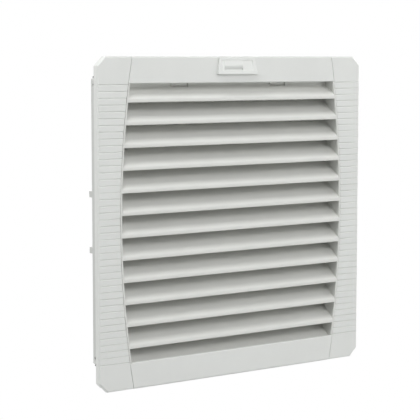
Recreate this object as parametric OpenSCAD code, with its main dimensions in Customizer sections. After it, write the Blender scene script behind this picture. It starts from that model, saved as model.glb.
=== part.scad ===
// Filter fan for a 291 mm square cabinet cut-out: louvred cover on a bottom hinge, shallow tray
// with filter mat, and an axial fan with an external rotor motor behind it.
// X right, Y into the cabinet, Z up. Y = 0 is the outside face of the cabinet panel,
// and the origin is the centre of the cut-out.

/* [Front cover] */
// How far the cover reaches past the cut-out on each side
cover_overhang = 14.25; // [13:0.25:18]
// Leg of the cut corners
cover_corner = 9; // [4:0.5:12]
// How far the face stands in front of the panel
cover_depth = 7; // [6.6:0.1:9]
// Thickness of the face
face_wall = 2.2; // [1.6:0.1:2.6]
// Thickness of the rim round the edge
rim_wall = 2.2; // [1.6:0.1:2.8]
// Broken edge round the face
edge_chamfer = 1.2; // [0.4:0.1:1.5]
// Height of the plain bands above and below the louvres
band_height = 25.9; // [23:0.1:40]
// Width of the side wings half way up
wing_width_mid = 26.5; // [24:0.1:34]
// Width of the side wings at the top and bottom of the louvres
wing_width_end = 36.3; // [30:0.1:46]
// Width of the rim strip beside the opening
strip_width = 1.7; // [1.6:0.1:3]
// Seam between the rim strip and the ribbed side trim
seam_gap = 0.4; // [0.3:0.1:0.8]
// Thickness of the side trims
trim_wall = 1.8; // [1.4:0.1:2]
// Thickness of the rails that carry the side trims
rail_wall = 1.7; // [1.2:0.1:2]
// Number of grooves on each side trim
groove_count = 43; // [20:1:60]
// Width of one groove
groove_width = 1; // [0.6:0.1:1.6]
// Distance of the first and last groove from the ends of the opening
groove_margin = 1; // [0:0.1:6]

/* [Louvres] */
// Number of slats
slat_count = 12; // [8:1:13]
// Rise of the slats towards the inside, in degrees
slat_slope = 37; // [32:1:40]
// Thickness of the slats
slat_wall = 2.2; // [1.6:0.1:2.8]
// Height of the slat's front lip, up to the line of the slope
slat_lip = 4; // [3:0.1:5]
// Radius of the slat's nose
slat_nose_radius = 4; // [2:0.5:6]
// Depth of the louvres behind the face
louvre_depth = 21; // [18:0.5:24]
// Free height above the lip of the first slat
louvre_top_gap = 17.8; // [16:0.1:22]
// Free height under the lip of the last slat
louvre_sill_gap = 13.8; // [11:0.1:16]
// Depth of the wall with the snap tongues, behind the face
tongue_depth = 13; // [12:0.5:15]
// Distance of each snap tongue from the middle
tongue_offset = 60; // [40:0.2:80]
// Width of a snap tongue with its slits
tongue_width = 21; // [14:0.5:26]
// Width of the slit round a snap tongue
tongue_slit = 1.7; // [1:0.1:2]

/* [Tray] */
// Side of the square cut-out in the panel
panel_cutout = 291.5; // [288:0.5:294]
// Room round the tray in the cut-out
cutout_clearance = 0.75; // [0.5:0.05:1.2]
// Thickness of the tray walls
tray_wall = 2.2; // [1.8:0.1:2.6]
// Leg of the cut corners of the tray
tray_corner = 7; // [6.5:0.1:8]
// Thickness of the flange in front of the panel
flange_wall = 1.5; // [1.3:0.1:1.6]
// Thickness of the panel gasket, pressed
gasket_wall = 1.5; // [1.2:0.1:1.6]
// Diameter of the panel screw holes
panel_hole = 4.5; // [3.5:0.1:5]
// Distance between the upper and the lower panel screw holes
panel_hole_spacing = 224; // [180:1:240]
// Thickness of the filter mat
mat_thickness = 10.5; // [7:0.5:14]
// Depth of the support grid
grid_depth = 3; // [2:0.1:4]
// Bars of the support grid each way
grid_bars = 11; // [7:1:15]
// Distance of the snap hooks from the middle of each wall
hook_offset = 27.3; // [20:0.1:60]

/* [Fan] */
// Diameter of the throat that the impeller runs in
throat_diameter = 208; // [196:1:212]
// Wall of the fan shroud
shroud_wall = 3.5; // [2.5:0.1:4.5]
// Length of the shroud behind the tray
shroud_length = 55; // [52:0.5:64]
// Thickness of the carrier plate
plate_wall = 2.4; // [2:0.1:3]
// Gap between the blade tips and the throat
tip_gap = 2.5; // [1.5:0.1:4]
// Number of impeller blades
blade_count = 7; // [5:1:9]
// Thickness of the blades
blade_wall = 2.2; // [1.6:0.1:3]
// Outside diameter of the rotor cup
rotor_diameter = 90; // [84:1:96]
// Length of the rotor cup
rotor_length = 42; // [38:0.5:44]
// Diameter of the motor shaft
shaft_diameter = 8; // [6:0.5:9]
// Diameter of the ring wires of the guard
ring_wire = 2.6; // [2:0.1:3.2]
// Diameter of the four arms of the guard
arm_wire = 4; // [3:0.1:4.4]
// Number of rings in the guard
ring_count = 5; // [4:1:8]

/* [Hinge and latch] */
// Distance of each hinge from the middle
hinge_offset = 110; // [80:1:125]
// Diameter of the hinge pins
hinge_pin = 2; // [1.6:0.1:2.2]
// Radius of the hinge knuckles
knuckle_radius = 2.2; // [2:0.1:2.3]
// Length of the cover's knuckle
knuckle_length = 10; // [6:0.5:16]
// Width of each ear of the tray
ear_width = 4; // [3:0.5:6]
// Height of the latch button
button_height = 17; // [14:0.5:17.5]
// Width of the button at its lower edge
button_width_low = 48.4; // [40:0.2:56]
// Width of the button at its upper edge
button_width_top = 43; // [36:0.2:52]
// How far the button's lower edge stands proud of the face
button_proud = 3.4; // [2:0.1:4]
// How far the button slides down
latch_travel = 2; // [1:0.1:2.2]

/* [Corner clips] */
// Width of a corner clip
clip_width = 6.4; // [5:0.1:6.6]
// Diameter of the clip pins
clip_pin = 2; // [1.6:0.1:2.4]
// Distance from the panel's outside face to the clip's catch
clip_grip = 2.4; // [2.2:0.1:3]

/* [Terminal block] */
// Number of terminals
terminal_count = 3; // [2:1:4]
// Distance between two terminals
terminal_pitch = 9; // [7:0.5:11]

/* [Hidden] */

// Colours
light_grey = [0.80, 0.81, 0.79];
seal_grey = [0.22, 0.23, 0.24];
mat_white = [0.93, 0.93, 0.90];
clip_grey = [0.16, 0.17, 0.18];
fan_black = [0.12, 0.12, 0.13];
cast_metal = [0.62, 0.63, 0.64];
steel = [0.72, 0.73, 0.75];
copper = [0.72, 0.42, 0.22];
brass = [0.80, 0.66, 0.32];

// Clearances
run_gap = 0.05;
slide_gap = 0.1;
fit_gap = 0.3;
overlap = 1;
big_fn = 256;
round_fn = 64;
small_fn = 32;

// Planes along Y
y_face = -cover_depth;
y_face_rear = y_face + face_wall;
y_rail = y_face + trim_wall;
y_rail_rear = y_rail + rail_wall;
rim_clearance = 0.4;
y_rim = -rim_clearance;
y_flange_rear = -gasket_wall;
y_flange = y_flange_rear - flange_wall;
y_louvre_rear = y_face + louvre_depth;
y_mat = y_louvre_rear + fit_gap;
y_grid = y_mat + mat_thickness;
y_plate = y_grid + grid_depth;
y_plate_rear = y_plate + plate_wall;
y_shroud = y_plate_rear + shroud_length;

// Half sizes in the plane of the panel
cover_size = panel_cutout + 2 * cover_overhang;
cover_half = cover_size / 2;
tray_half = panel_cutout / 2 - cutout_clearance;
tray_inner = tray_half - tray_wall;
flange_gap = 1.8;
flange_half = cover_half - rim_wall - flange_gap;
opening_half = cover_half - band_height;
opening_height = 2 * opening_half;
mid_half = cover_half - wing_width_mid;
bow_sag = wing_width_end - wing_width_mid;
bow_radius = (opening_half ^ 2 + bow_sag ^ 2) / (2 * bow_sag);
trim_inner = strip_width + seam_gap;
panel_hole_inset = 4;
panel_hole_x = tray_half + panel_hole_inset;
gasket_gap = 0.5;
gasket_inset = 0.6;

// Distance from the middle to a corner cut, square to the cut
tray_cut = (2 * tray_half - tray_corner) / sqrt(2);
cover_cut = (cover_size - cover_corner) / sqrt(2);
flange_cut = cover_cut - rim_wall - flange_gap;

// Corner pockets, measured from the middle along the diagonal
pocket_wall = 2;
pocket_depth = 8.9;
clip_side_gap = 0.3;
pocket_floor = tray_cut - pocket_depth;
pocket_back = pocket_floor - pocket_wall;
pocket_slot = clip_width + 2 * clip_side_gap;
pocket_width = pocket_slot + 2 * pocket_wall;
inside_cut = pocket_back - fit_gap;

// Clip lever: pivot and profile points along the diagonal and along Y
clip_pivot_in = 3.9;
clip_pivot_depth = 4.1;
clip_pivot_s = tray_cut - clip_pivot_in;
clip_eye_wall = 1.3;
clip_eye = clip_pin / 2 + clip_eye_wall;
y_clip_pivot = y_plate_rear - clip_pivot_depth;
clip_reach = 7.5;
clip_tip_wall = 1.8;
clip_arm_wall = 1.8;
clip_heel = 6;
clip_heel_shift = 0.2;
clip_ramp_end = 14.5;
clip_tab = 1.2;
clip_tab_wall = 1.8;

// Slats, with the front lip at depth 0 and height 0
slat_pitch = (opening_height - louvre_top_gap - louvre_sill_gap) / (slat_count - 1);
slat_first = opening_half - louvre_top_gap;
slat_drop = slat_wall / cos(slat_slope);
lip_wall = 1.8;
nose_tangent = slat_nose_radius * tan((90 - slat_slope) / 2);
nose_steps = 6;
sill_ledge = 5;
shell_gap = 0.1;
shell_wall = 2;
shell_half = opening_half + shell_gap + shell_wall;
tongue_wall = 2;
seat_room = 3;
seat_width = tray_inner - seat_room - mid_half - strip_width;
seat_wall = 1.4;
seat_inset = 16;
seat_half = opening_half - seat_inset;

// Hinge axis along X
hinge_y = y_flange;
hinge_z = -(cover_half + y_flange);
hinge_span = knuckle_length + 2 * ear_width + 2 * fit_gap;
swing_gap = 0.4;
y_low_rim = hinge_y + swing_gap;

// Latch
button_margin = 0.7;
button_top = cover_half - button_margin;
button_low = button_top - button_height;
button_top_proud = 0.9;
button_recess = 0.5;
recess_border = 3.1;
recess_low_border = 4;
bar_width = 22;
bar_height = 7.9;
bar_shift = 5;
bar_flank = 2.4;
bar_proud = 0.6;
bar_top_sink = 0.2;
bar_slot_depth = 0.9;
stem_inset = 4.2;
stem_low = button_low + stem_inset;
stem_height = 5;
stem_half = 9;
slider_half = 13;
slider_rise = 2;
slider_top = stem_low + stem_height + slider_rise;
slider_y = y_face_rear + slide_gap;
slider_wall = y_flange - fit_gap - slider_y;
latch_arm_wall = 2;
latch_arm_room = 1.6;
latch_arm_top = tray_inner - latch_arm_room;
latch_arm_low = latch_arm_top - latch_arm_wall;
latch_arm_half = 8;
y_latch_arm = 7;
keeper_height = 0.8;
keeper_y = 2;
keeper_wall = 1.5;
latch_nose = tray_inner - keeper_height - fit_gap;
latch_nose_length = 2.5;
spring_wire = 0.45;
spring_radius = 2.6;
spring_taper = 0.5;
spring_turns = 2.5;
spring_steps = 14;
spring_sides = 6;
spring_y = 0;

// Fan and motor
throat_r = throat_diameter / 2;
shroud_r = throat_r + shroud_wall;
flare = 6;
gusset_count = 8;
gusset_wall = 2;
gusset_reach = 20;
gusset_height = 26;
boss_r = 5;
boss_offset = shroud_r + boss_r - overlap;
guard_hole = 3.2;
guard_hole_depth = 14;
guard_screw_spare = 3;
motor_lift = 0.2;
y_arm = y_shroud + motor_lift + arm_wire / 2;
weld = 0.6;
y_ring = y_arm + (arm_wire + ring_wire) / 2 - weld;
eyelet_wall = 2.5;
arm_root = 6;
motor_plate_wall = 2;
motor_plate_inset = 2;
y_motor = y_shroud + motor_lift;
motor_flange_wall = 3.2;
motor_flange_inset = 1;
rotor_gap = 0.8;
rotor_wall = 2.6;
rotor_r = rotor_diameter / 2;
y_rotor_rear = y_motor - motor_flange_wall - rotor_gap;
y_rotor = y_rotor_rear - rotor_length;
shaft_r = shaft_diameter / 2;
rotor_hub_wall = 5;
rotor_hub_r = shaft_r + rotor_hub_wall;
rotor_hub_length = 4.4;
bearing_ring = 7;
bearing_r = shaft_r + bearing_ring;
bearing_length = 7;
tube_wall = 3;
tube_r = bearing_r + tube_wall;
tube_shoulder = 2;
y_tube = y_rotor + rotor_wall + rotor_hub_length + rotor_gap;
y_front_bearing = y_tube;
y_rear_bearing = y_motor - motor_flange_wall - bearing_length;
ring_wall = 1;
ring_reach = 2.6;
ring_r = shaft_r + ring_reach;
ring_gap = 0.2;
y_retaining = y_rear_bearing + bearing_length + ring_gap;
stator_gap = 1.2;
stator_r = rotor_r - rotor_wall - stator_gap;
winding_length = 5;
winding_margin = 3;
winding_room = 1.5;
winding_inner = tube_r + winding_margin;
winding_outer = stator_r - winding_margin;
stator_start = 4.5;
y_stator = y_tube + stator_start;
y_stator_rear = y_motor - motor_flange_wall - winding_length - winding_room;
motor_screw_circle = (tube_r + rotor_r) / 2;
screw_r = 2;
screw_head_r = 3.8;
screw_head = 2.4;

// Impeller blades
hub_wall = 2;
hub_r = rotor_r + hub_wall;
hub_margin = 3;
blade_tip_r = throat_r - tip_gap;
y_blade = (y_rotor + y_rotor_rear) / 2;
chord_root = 34;
chord_tip = 54;
pitch_root = 38;
pitch_tip = 24;
blade_sweep = 26;
sweep_power = 1.6;
blade_edge = 0.35;
blade_camber = 3.2;
blade_spans = 8;
blade_chords = 8;

// Terminal block
terminal_side_inset = 42.8;
terminal_low_inset = 28.8;
terminal_x = tray_inner - terminal_side_inset;
terminal_z = terminal_low_inset - tray_inner;
terminal_depth = 16;
terminal_height = 18;
terminal_end = 6;
terminal_wall = 1.6;
terminal_width = terminal_count * terminal_pitch + 2 * terminal_end;
terminal_hole = 3.2;
terminal_screw_head = 2.8;
terminal_ear = 5;
bay = terminal_pitch - terminal_wall;
bay_floor = 5;
first_bay = terminal_x - (terminal_count - 1) * terminal_pitch / 2;

// Outline of a square with cut corners, drawn in the plane of the panel
module cut_square(half, cut) {
    leg = 2 * half - cut * sqrt(2);
    polygon([[-half, leg - half], [leg - half, -half], [half - leg, -half], [half, leg - half],
        [half, half - leg], [half - leg, half], [leg - half, half], [-half, half - leg]]);
}

// Stands a flat outline in the plane of the panel, from y0 to y1
module slab(y0, y1) {
    translate([0, y1, 0]) rotate([90, 0, 0]) linear_extrude(height = y1 - y0) children();
}

// Bar along X with its section given in Y and Z
module bar(length) {
    rotate([90, 0, 90]) translate([0, 0, -length / 2]) linear_extrude(height = length) children();
}

// Round bar along Y
module rod(radius, y0, y1, fn = round_fn) {
    translate([0, y1, 0]) rotate([90, 0, 0]) cylinder(r = radius, h = y1 - y0, $fn = fn);
}

// Round bar along X
module cross_rod(radius, x0, x1, fn = small_fn) {
    translate([x0, 0, 0]) rotate([0, 90, 0]) cylinder(r = radius, h = x1 - x0, $fn = fn);
}

// Block between two corners
module block(low, high) {
    translate(low) cube(high - low);
}

// Body between the two bowed sides, grown outwards by a step
module bowed(step, y0, y1) {
    intersection_for (side = [-1, 1])
        translate([side * (mid_half - bow_radius), 0, 0])
            rod(bow_radius + step, y0, y1, big_fn);
}

// Bowed body of limited height
module bowed_block(step, y0, y1, z0, z1) {
    intersection() {
        bowed(step, y0, y1);
        block([-cover_size, y0 - overlap, z0], [cover_size, y1 + overlap, z1]);
    }
}

// Cutter for a broken edge along X
module edge_cutter(leg) {
    rotate([45, 0, 0]) cube([2 * cover_size, leg * sqrt(2), leg * sqrt(2)], center = true);
}

// Puts its children in the pocket frame of one corner: X along the diagonal, Z across it
module at_corner(sx, sz) {
    turn = sx > 0 ? (sz > 0 ? -45 : 45) : (sz > 0 ? -135 : 135);
    rotate([0, turn, 0]) children();
}

// Screw along Y with its head at the rear
module rear_screw(radius, head_radius, head_length, y_seat, length) {
    rod(radius, y_seat - length, y_seat + overlap / 2, small_fn);
    rod(head_radius, y_seat, y_seat + head_length, small_fn);
}

module corner_pocket() {
    difference() {
        block([pocket_back, y_flange_rear, -pocket_width / 2],
            [tray_cut, y_plate_rear, pocket_width / 2]);
        block([pocket_floor, 0, -pocket_slot / 2], [tray_cut + overlap, y_plate_rear + overlap,
            pocket_slot / 2]);
    }
}

module snap_hook() {
    hook_width = 6;
    hook_rise = 5.4;
    barb = 1.5;
    barb_height = 2.4;
    rotate([90, 0, 90]) translate([0, 0, -hook_width / 2]) linear_extrude(height = hook_width)
        polygon([[y_plate_rear - overlap, tray_half], [y_plate_rear + hook_rise, tray_half],
            [y_plate_rear + hook_rise, tray_inner + barb / 2],
            [y_plate_rear + barb_height, tray_inner - barb],
            [y_plate_rear + slide_gap, tray_inner - barb],
            [y_plate_rear + slide_gap, tray_inner], [y_plate_rear - overlap, tray_inner]]);
}

module hinge_ears() {
    for (side = [-1, 1], end = [-1, 1])
        translate([side * hinge_offset + end * (knuckle_length / 2 + fit_gap + ear_width / 2), 0, 0])
            difference() {
                union() {
                    translate([-ear_width / 2, hinge_y, hinge_z])
                        cross_rod(knuckle_radius, 0, ear_width);
                    block([-ear_width / 2, y_flange, hinge_z],
                        [ear_width / 2, y_flange_rear, hinge_z + knuckle_radius + overlap]);
                }
                translate([-ear_width, hinge_y, hinge_z]) cross_rod(hinge_pin / 2, 0, 2 * ear_width);
            }
}

// Places of the panel screw holes
module at_panel_holes() {
    for (sx = [-1, 1], sz = [-1, 1])
        translate([sx * panel_hole_x, 0, sz * panel_hole_spacing / 2]) children();
}

// Moulded tray: flange, walls, corner pockets, hooks for the fan carrier, hinge ears, keeper
module housing_tray() {
    stop_width = 10;
    stop_reach = 1.6;
    stop_wall = 2;
    stop_offset = tray_inner / 2;
    color(light_grey) {
        difference() {
            union() {
                difference() {
                    union() {
                        slab(y_flange, y_flange_rear) cut_square(flange_half, flange_cut);
                        slab(y_flange, y_plate_rear) cut_square(tray_half, tray_cut);
                    }
                    slab(y_flange - overlap, y_plate_rear + overlap)
                        cut_square(tray_inner, tray_cut - tray_wall);
                }
                for (sx = [-1, 1], sz = [-1, 1]) at_corner(sx, sz) corner_pocket();
                for (turn = [0 : 90 : 270]) rotate([0, turn, 0]) {
                    for (side = [-1, 1]) {
                        translate([side * hook_offset, 0, 0]) snap_hook();
                        translate([side * stop_offset, 0, 0])
                            block([-stop_width / 2, y_grid - stop_wall, tray_inner - stop_reach],
                                [stop_width / 2, y_grid, tray_inner + tray_wall / 2]);
                    }
                }
                block([-latch_arm_half, keeper_y, tray_inner - keeper_height],
                    [latch_arm_half, keeper_y + keeper_wall, tray_inner + tray_wall / 2]);
            }
            for (side = [-1, 1])
                block([side * hinge_offset - hinge_span / 2 - fit_gap, y_flange - overlap,
                    hinge_z - knuckle_radius], [side * hinge_offset + hinge_span / 2 + fit_gap, 0,
                    hinge_z + knuckle_radius + swing_gap]);
            at_panel_holes() rod(panel_hole / 2, y_flange - overlap, 0, small_fn);
            for (sx = [-1, 1], sz = [-1, 1]) at_corner(sx, sz) {
                block([pocket_floor, 0, -pocket_slot / 2],
                    [tray_cut + tray_corner, y_plate_rear + overlap, pocket_slot / 2]);
                translate([clip_pivot_s, y_clip_pivot, -pocket_width])
                    cylinder(r = clip_pin / 2, h = 2 * pocket_width, $fn = small_fn);
            }
        }
        hinge_ears();
    }
}

// Foamed sealing frame between the flange and the panel
module panel_gasket() {
    color(seal_grey) difference() {
        slab(y_flange_rear, 0) cut_square(flange_half - gasket_inset, flange_cut - gasket_inset);
        slab(y_flange_rear - overlap, overlap)
            cut_square(tray_half + gasket_gap, tray_cut + gasket_gap);
        at_panel_holes() rod(panel_hole / 2, y_flange_rear - overlap, overlap, small_fn);
    }
}

module filter_mat() {
    mat_room = 2;
    color(mat_white) slab(y_mat, y_grid) cut_square(tray_inner - mat_room, inside_cut);
}

// Moulded grid that the mat lies on
module support_grid() {
    bar_wall = 2;
    frame_width = 8;
    half = tray_inner - fit_gap;
    step = 2 * half / (grid_bars + 1);
    color(light_grey) {
        difference() {
            slab(y_grid, y_plate) cut_square(half, inside_cut);
            slab(y_grid - overlap, y_plate + overlap)
                cut_square(half - frame_width, inside_cut - frame_width);
        }
        intersection() {
            slab(y_grid, y_plate) cut_square(half - overlap, inside_cut - overlap);
            for (i = [1 : grid_bars], turn = [0, 90]) rotate([0, turn, 0])
                block([i * step - half - bar_wall / 2, y_grid, -half],
                    [i * step - half + bar_wall / 2, y_plate, half]);
        }
    }
}

// Rear plate of the tray with the fan shroud, its gussets and the bosses for the guard
module fan_carrier() {
    gusset_foot = overlap;
    color(light_grey) difference() {
        union() {
            slab(y_plate, y_plate_rear) cut_square(tray_inner - fit_gap, inside_cut);
            rod(shroud_r, y_plate, y_shroud, big_fn);
            for (i = [0 : gusset_count - 1]) rotate([0, (i + 0.5) * 360 / gusset_count, 0])
                translate([-gusset_wall / 2, 0, 0]) rotate([90, 0, 90])
                    linear_extrude(height = gusset_wall)
                        polygon([[y_plate_rear - gusset_foot, throat_r + gusset_foot],
                            [y_plate_rear - gusset_foot, shroud_r + gusset_reach],
                            [y_plate_rear, shroud_r + gusset_reach],
                            [y_plate_rear + gusset_height, shroud_r],
                            [y_plate_rear + gusset_height, throat_r + gusset_foot]]);
            for (i = [0 : 3]) rotate([0, 45 + 90 * i, 0]) translate([boss_offset, 0, 0])
                rod(boss_r, y_plate_rear - gusset_foot, y_shroud);
        }
        rod(throat_r, y_plate - overlap, y_shroud + overlap, big_fn);
        translate([0, y_plate, 0]) rotate([-90, 0, 0]) rotate_extrude($fn = big_fn)
            difference() {
                square([throat_r + flare, flare]);
                translate([throat_r + flare, flare]) circle(r = flare, $fn = round_fn);
            }
        for (i = [0 : 3]) rotate([0, 45 + 90 * i, 0]) translate([boss_offset, 0, 0])
            rod(guard_hole / 2, y_shroud - guard_hole_depth, y_shroud + overlap, small_fn);
        terminal_mounts(terminal_hole / 2, y_plate - overlap, y_plate_rear + overlap);
    }
}

// Welded wire guard with the plate that carries the motor
module guard_grille() {
    ring_start = 8;
    first_ring = rotor_r + ring_start;
    last_ring = throat_r + shroud_wall / 2;
    ring_step = (last_ring - first_ring) / (ring_count - 1);
    plate_r = rotor_r - motor_plate_inset;
    color(fan_black) difference() {
        union() {
            for (i = [0 : ring_count - 1]) translate([0, y_ring, 0]) rotate([90, 0, 0])
                rotate_extrude($fn = big_fn) translate([first_ring + i * ring_step, 0])
                    circle(r = ring_wire / 2, $fn = small_fn);
            rod(plate_r, y_motor, y_motor + motor_plate_wall);
            for (i = [0 : 3]) rotate([0, 45 + 90 * i, 0]) {
                translate([0, y_arm, 0]) cross_rod(arm_wire / 2, plate_r - arm_root, boss_offset);
                translate([boss_offset, 0, 0]) rod(boss_r, y_shroud, y_shroud + eyelet_wall);
            }
        }
        for (i = [0 : 3]) rotate([0, 45 + 90 * i, 0]) {
            translate([boss_offset, 0, 0])
                rod(screw_r + run_gap, y_shroud - overlap, y_ring + ring_wire, small_fn);
            translate([boss_offset, 0, 0])
                rod(screw_head_r + fit_gap, y_shroud + eyelet_wall, y_ring + ring_wire, small_fn);
            translate([motor_screw_circle, 0, 0])
                rod(screw_r + run_gap, y_motor - overlap, y_ring + ring_wire, small_fn);
        }
    }
}

module guard_screws() {
    length = eyelet_wall + guard_hole_depth - guard_screw_spare;
    color(steel) for (i = [0 : 3]) rotate([0, 45 + 90 * i, 0]) translate([boss_offset, 0, 0])
        rear_screw(guard_hole / 2, screw_head_r, screw_head, y_shroud + eyelet_wall, length);
}

// Cast flange with the bearing tube that carries stator and rotor
module motor_flange() {
    color(cast_metal) difference() {
        union() {
            rod(rotor_r - motor_flange_inset, y_motor - motor_flange_wall, y_motor);
            rod(tube_r, y_tube, y_motor);
        }
        rod(bearing_r - tube_shoulder, y_tube - overlap, y_motor + overlap);
        rod(bearing_r, y_tube - overlap, y_front_bearing + bearing_length);
        rod(bearing_r, y_rear_bearing, y_motor + overlap);
        for (i = [0 : 3]) rotate([0, 45 + 90 * i, 0]) translate([motor_screw_circle, 0, 0])
            rod(screw_r, y_motor - motor_flange_wall - overlap, y_motor + overlap, small_fn);
    }
}

module motor_screws() {
    length = motor_plate_wall + motor_flange_wall;
    color(steel) for (i = [0 : 3]) rotate([0, 45 + 90 * i, 0])
        translate([motor_screw_circle, 0, 0])
            rear_screw(screw_r, screw_head_r, screw_head, y_motor + motor_plate_wall, length);
}

module stator_core() {
    color(cast_metal) difference() {
        rod(stator_r, y_stator, y_stator_rear);
        rod(tube_r + run_gap, y_stator - overlap, y_stator_rear + overlap);
    }
}

module stator_windings() {
    color(copper) for (y0 = [y_stator - winding_length, y_stator_rear])
        difference() {
            rod(winding_outer, y0, y0 + winding_length);
            rod(winding_inner, y0 - overlap, y0 + winding_length + overlap);
        }
}

// Ball bearing on the shaft, seen as one closed ring
module bearing(y0) {
    difference() {
        rod(bearing_r, y0, y0 + bearing_length);
        rod(shaft_r + run_gap, y0 - overlap, y0 + bearing_length + overlap);
    }
}

module front_bearing() {
    color(steel) bearing(y_front_bearing);
}

module rear_bearing() {
    color(steel) bearing(y_rear_bearing);
}

module terminal_mounts(radius, y0, y1) {
    for (side = [-1, 1])
        translate([terminal_x + side * (terminal_width - terminal_end) / 2, 0, terminal_z])
            rod(radius, y0, y1, small_fn);
}

// Terminal body with one bay for each clamp and a wire mouth below each bay
module terminal_block() {
    wire_mouth = 4;
    mouth_rise = 9;
    y_mouth = y_plate_rear + mouth_rise;
    low_z = terminal_z - terminal_height / 2;
    color(light_grey) difference() {
        union() {
            block([terminal_x - terminal_width / 2, y_plate_rear, low_z],
                [terminal_x + terminal_width / 2, y_plate_rear + terminal_ear, low_z + terminal_height]);
            block([terminal_x - terminal_width / 2 + terminal_end, y_plate_rear, low_z],
                [terminal_x + terminal_width / 2 - terminal_end, y_plate_rear + terminal_depth,
                low_z + terminal_height]);
        }
        for (i = [0 : terminal_count - 1]) translate([first_bay + i * terminal_pitch, 0, 0]) {
            block([-bay / 2, y_plate_rear + bay_floor, low_z + terminal_wall],
                [bay / 2, y_plate_rear + terminal_depth + overlap,
                low_z + terminal_height - terminal_wall]);
            translate([0, y_mouth, low_z - overlap])
                cylinder(r = wire_mouth / 2, h = terminal_height / 2, $fn = small_fn);
        }
        terminal_mounts(terminal_hole / 2, y_plate_rear - overlap, y_plate_rear + terminal_depth);
    }
}

// Brass clamp with its screw in each bay
module terminal_clamps() {
    clamp_height = 8;
    clamp_screw = 2.4;
    clamp_screw_head = 2;
    clamp_gap = 0.2;
    clamp_depth = 7;
    y_clamp = y_plate_rear + bay_floor;
    y_clamp_rear = y_clamp + clamp_depth;
    color(brass) for (i = [0 : terminal_count - 1])
        translate([first_bay + i * terminal_pitch, 0, terminal_z]) {
            block([clamp_gap - bay / 2, y_clamp, -clamp_height / 2],
                [bay / 2 - clamp_gap, y_clamp_rear, clamp_height / 2]);
            rod(clamp_screw, y_clamp_rear - overlap, y_clamp_rear + clamp_screw_head, small_fn);
        }
}

module terminal_screws() {
    color(steel) for (side = [-1, 1])
        translate([terminal_x + side * (terminal_width - terminal_end) / 2, 0, terminal_z])
            rear_screw(terminal_hole / 2, terminal_screw_head, screw_head,
                y_plate_rear + terminal_ear, terminal_ear + plate_wall);
}

module hinge_pins() {
    color(steel) for (side = [-1, 1]) translate([side * hinge_offset, hinge_y, hinge_z])
        cross_rod(hinge_pin / 2, -hinge_span / 2, hinge_span / 2);
}

module clip_pins() {
    color(steel) for (sx = [-1, 1], sz = [-1, 1]) at_corner(sx, sz)
        translate([clip_pivot_s, y_clip_pivot, -pocket_width / 2])
            cylinder(r = clip_pin / 2, h = pocket_width, $fn = small_fn);
}

// Outline of the latch button, seen from the front
module button_outline() {
    polygon([[-button_width_low / 2, button_low], [button_width_low / 2, button_low],
        [button_width_top / 2, button_top], [-button_width_top / 2, button_top]]);
}

// Face, rim and rails of the cover, with the hinge knuckles
module cover_frame() {
    rim_cut = cover_cut - rim_wall;
    edge_break = 0.6;
    ear_room = knuckle_radius + swing_gap;
    color(light_grey) difference() {
        union() {
            difference() {
                slab(y_face, y_rim) cut_square(cover_half, cover_cut);
                slab(y_face_rear, y_rim + overlap) cut_square(cover_half - rim_wall, rim_cut);
                block([-cover_size, y_low_rim, -cover_size],
                    [cover_size, overlap, hinge_z + knuckle_radius / 2]);
                difference() {
                    block([-cover_size, y_face - overlap, -cover_size],
                        [cover_size, y_rail, cover_size]);
                    bowed(strip_width, y_face - overlap, y_rail + overlap);
                }
            }
            difference() {
                slab(y_rail, y_rail_rear) cut_square(cover_half, cover_cut);
                bowed(-overlap, y_rail - overlap, y_rail_rear + overlap);
            }
            for (side = [-1, 1]) translate([side * hinge_offset, hinge_y, hinge_z])
                cross_rod(knuckle_radius, -knuckle_length / 2, knuckle_length / 2);
        }
        bowed_block(strip_width + fit_gap, y_face - overlap, y_rail_rear + overlap,
            -opening_half, opening_half);
        bowed_block(strip_width + fit_gap, y_face_rear, y_rail_rear + overlap,
            -shell_half - fit_gap, shell_half + fit_gap);
        for (side = [-1, 1]) {
            translate([0, y_face, side * cover_half]) edge_cutter(edge_chamfer);
            intersection() {
                translate([0, y_face, side * opening_half]) edge_cutter(edge_break);
                bowed(strip_width, y_face - overlap, y_face_rear);
            }
        }
        for (side = [-1, 1]) translate([side * hinge_offset, hinge_y, hinge_z]) {
            cross_rod(hinge_pin / 2 + run_gap, -knuckle_length, knuckle_length);
            for (end = [-1, 1])
                translate([end * (knuckle_length / 2 + fit_gap + ear_width / 2), 0, 0]) {
                    cross_rod(ear_room, -ear_width / 2 - fit_gap, ear_width / 2 + fit_gap);
                    block([-ear_width / 2 - fit_gap, -ear_room, -2 * ear_room],
                        [ear_width / 2 + fit_gap, cover_depth, 0]);
                }
        }
        block([-stem_half - fit_gap, y_face - overlap, stem_low - latch_travel - fit_gap],
            [stem_half + fit_gap, y_flange, stem_low + stem_height + fit_gap]);
    }
}

// Height of the slat's upper side at a depth
function slat_top(depth) = slat_lip + depth * tan(slat_slope);

// Section of one slat in depth and height, with its rounded nose
module slat_section(depth) {
    nose = [for (i = [0 : nose_steps])
        let (a = 180 - i * (90 - slat_slope) / nose_steps)
        [slat_nose_radius + slat_nose_radius * cos(a),
            slat_lip - nose_tangent + slat_nose_radius * sin(a)]];
    polygon(concat([[lip_wall, 0], [0, 0]], nose, [[depth, slat_top(depth)],
        [depth, slat_top(depth) - slat_drop], [lip_wall, slat_top(lip_wall) - slat_drop]]));
}

// Section of the sill behind the lower band
module sill_section() {
    rise = (louvre_depth - sill_ledge) * tan(slat_slope);
    front = face_wall + shell_gap;
    polygon([[front, 0], [sill_ledge, 0], [louvre_depth, rise], [louvre_depth, rise - slat_drop],
        [sill_ledge + shell_wall / 2, -shell_wall], [front, -shell_wall]]);
}

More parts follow.
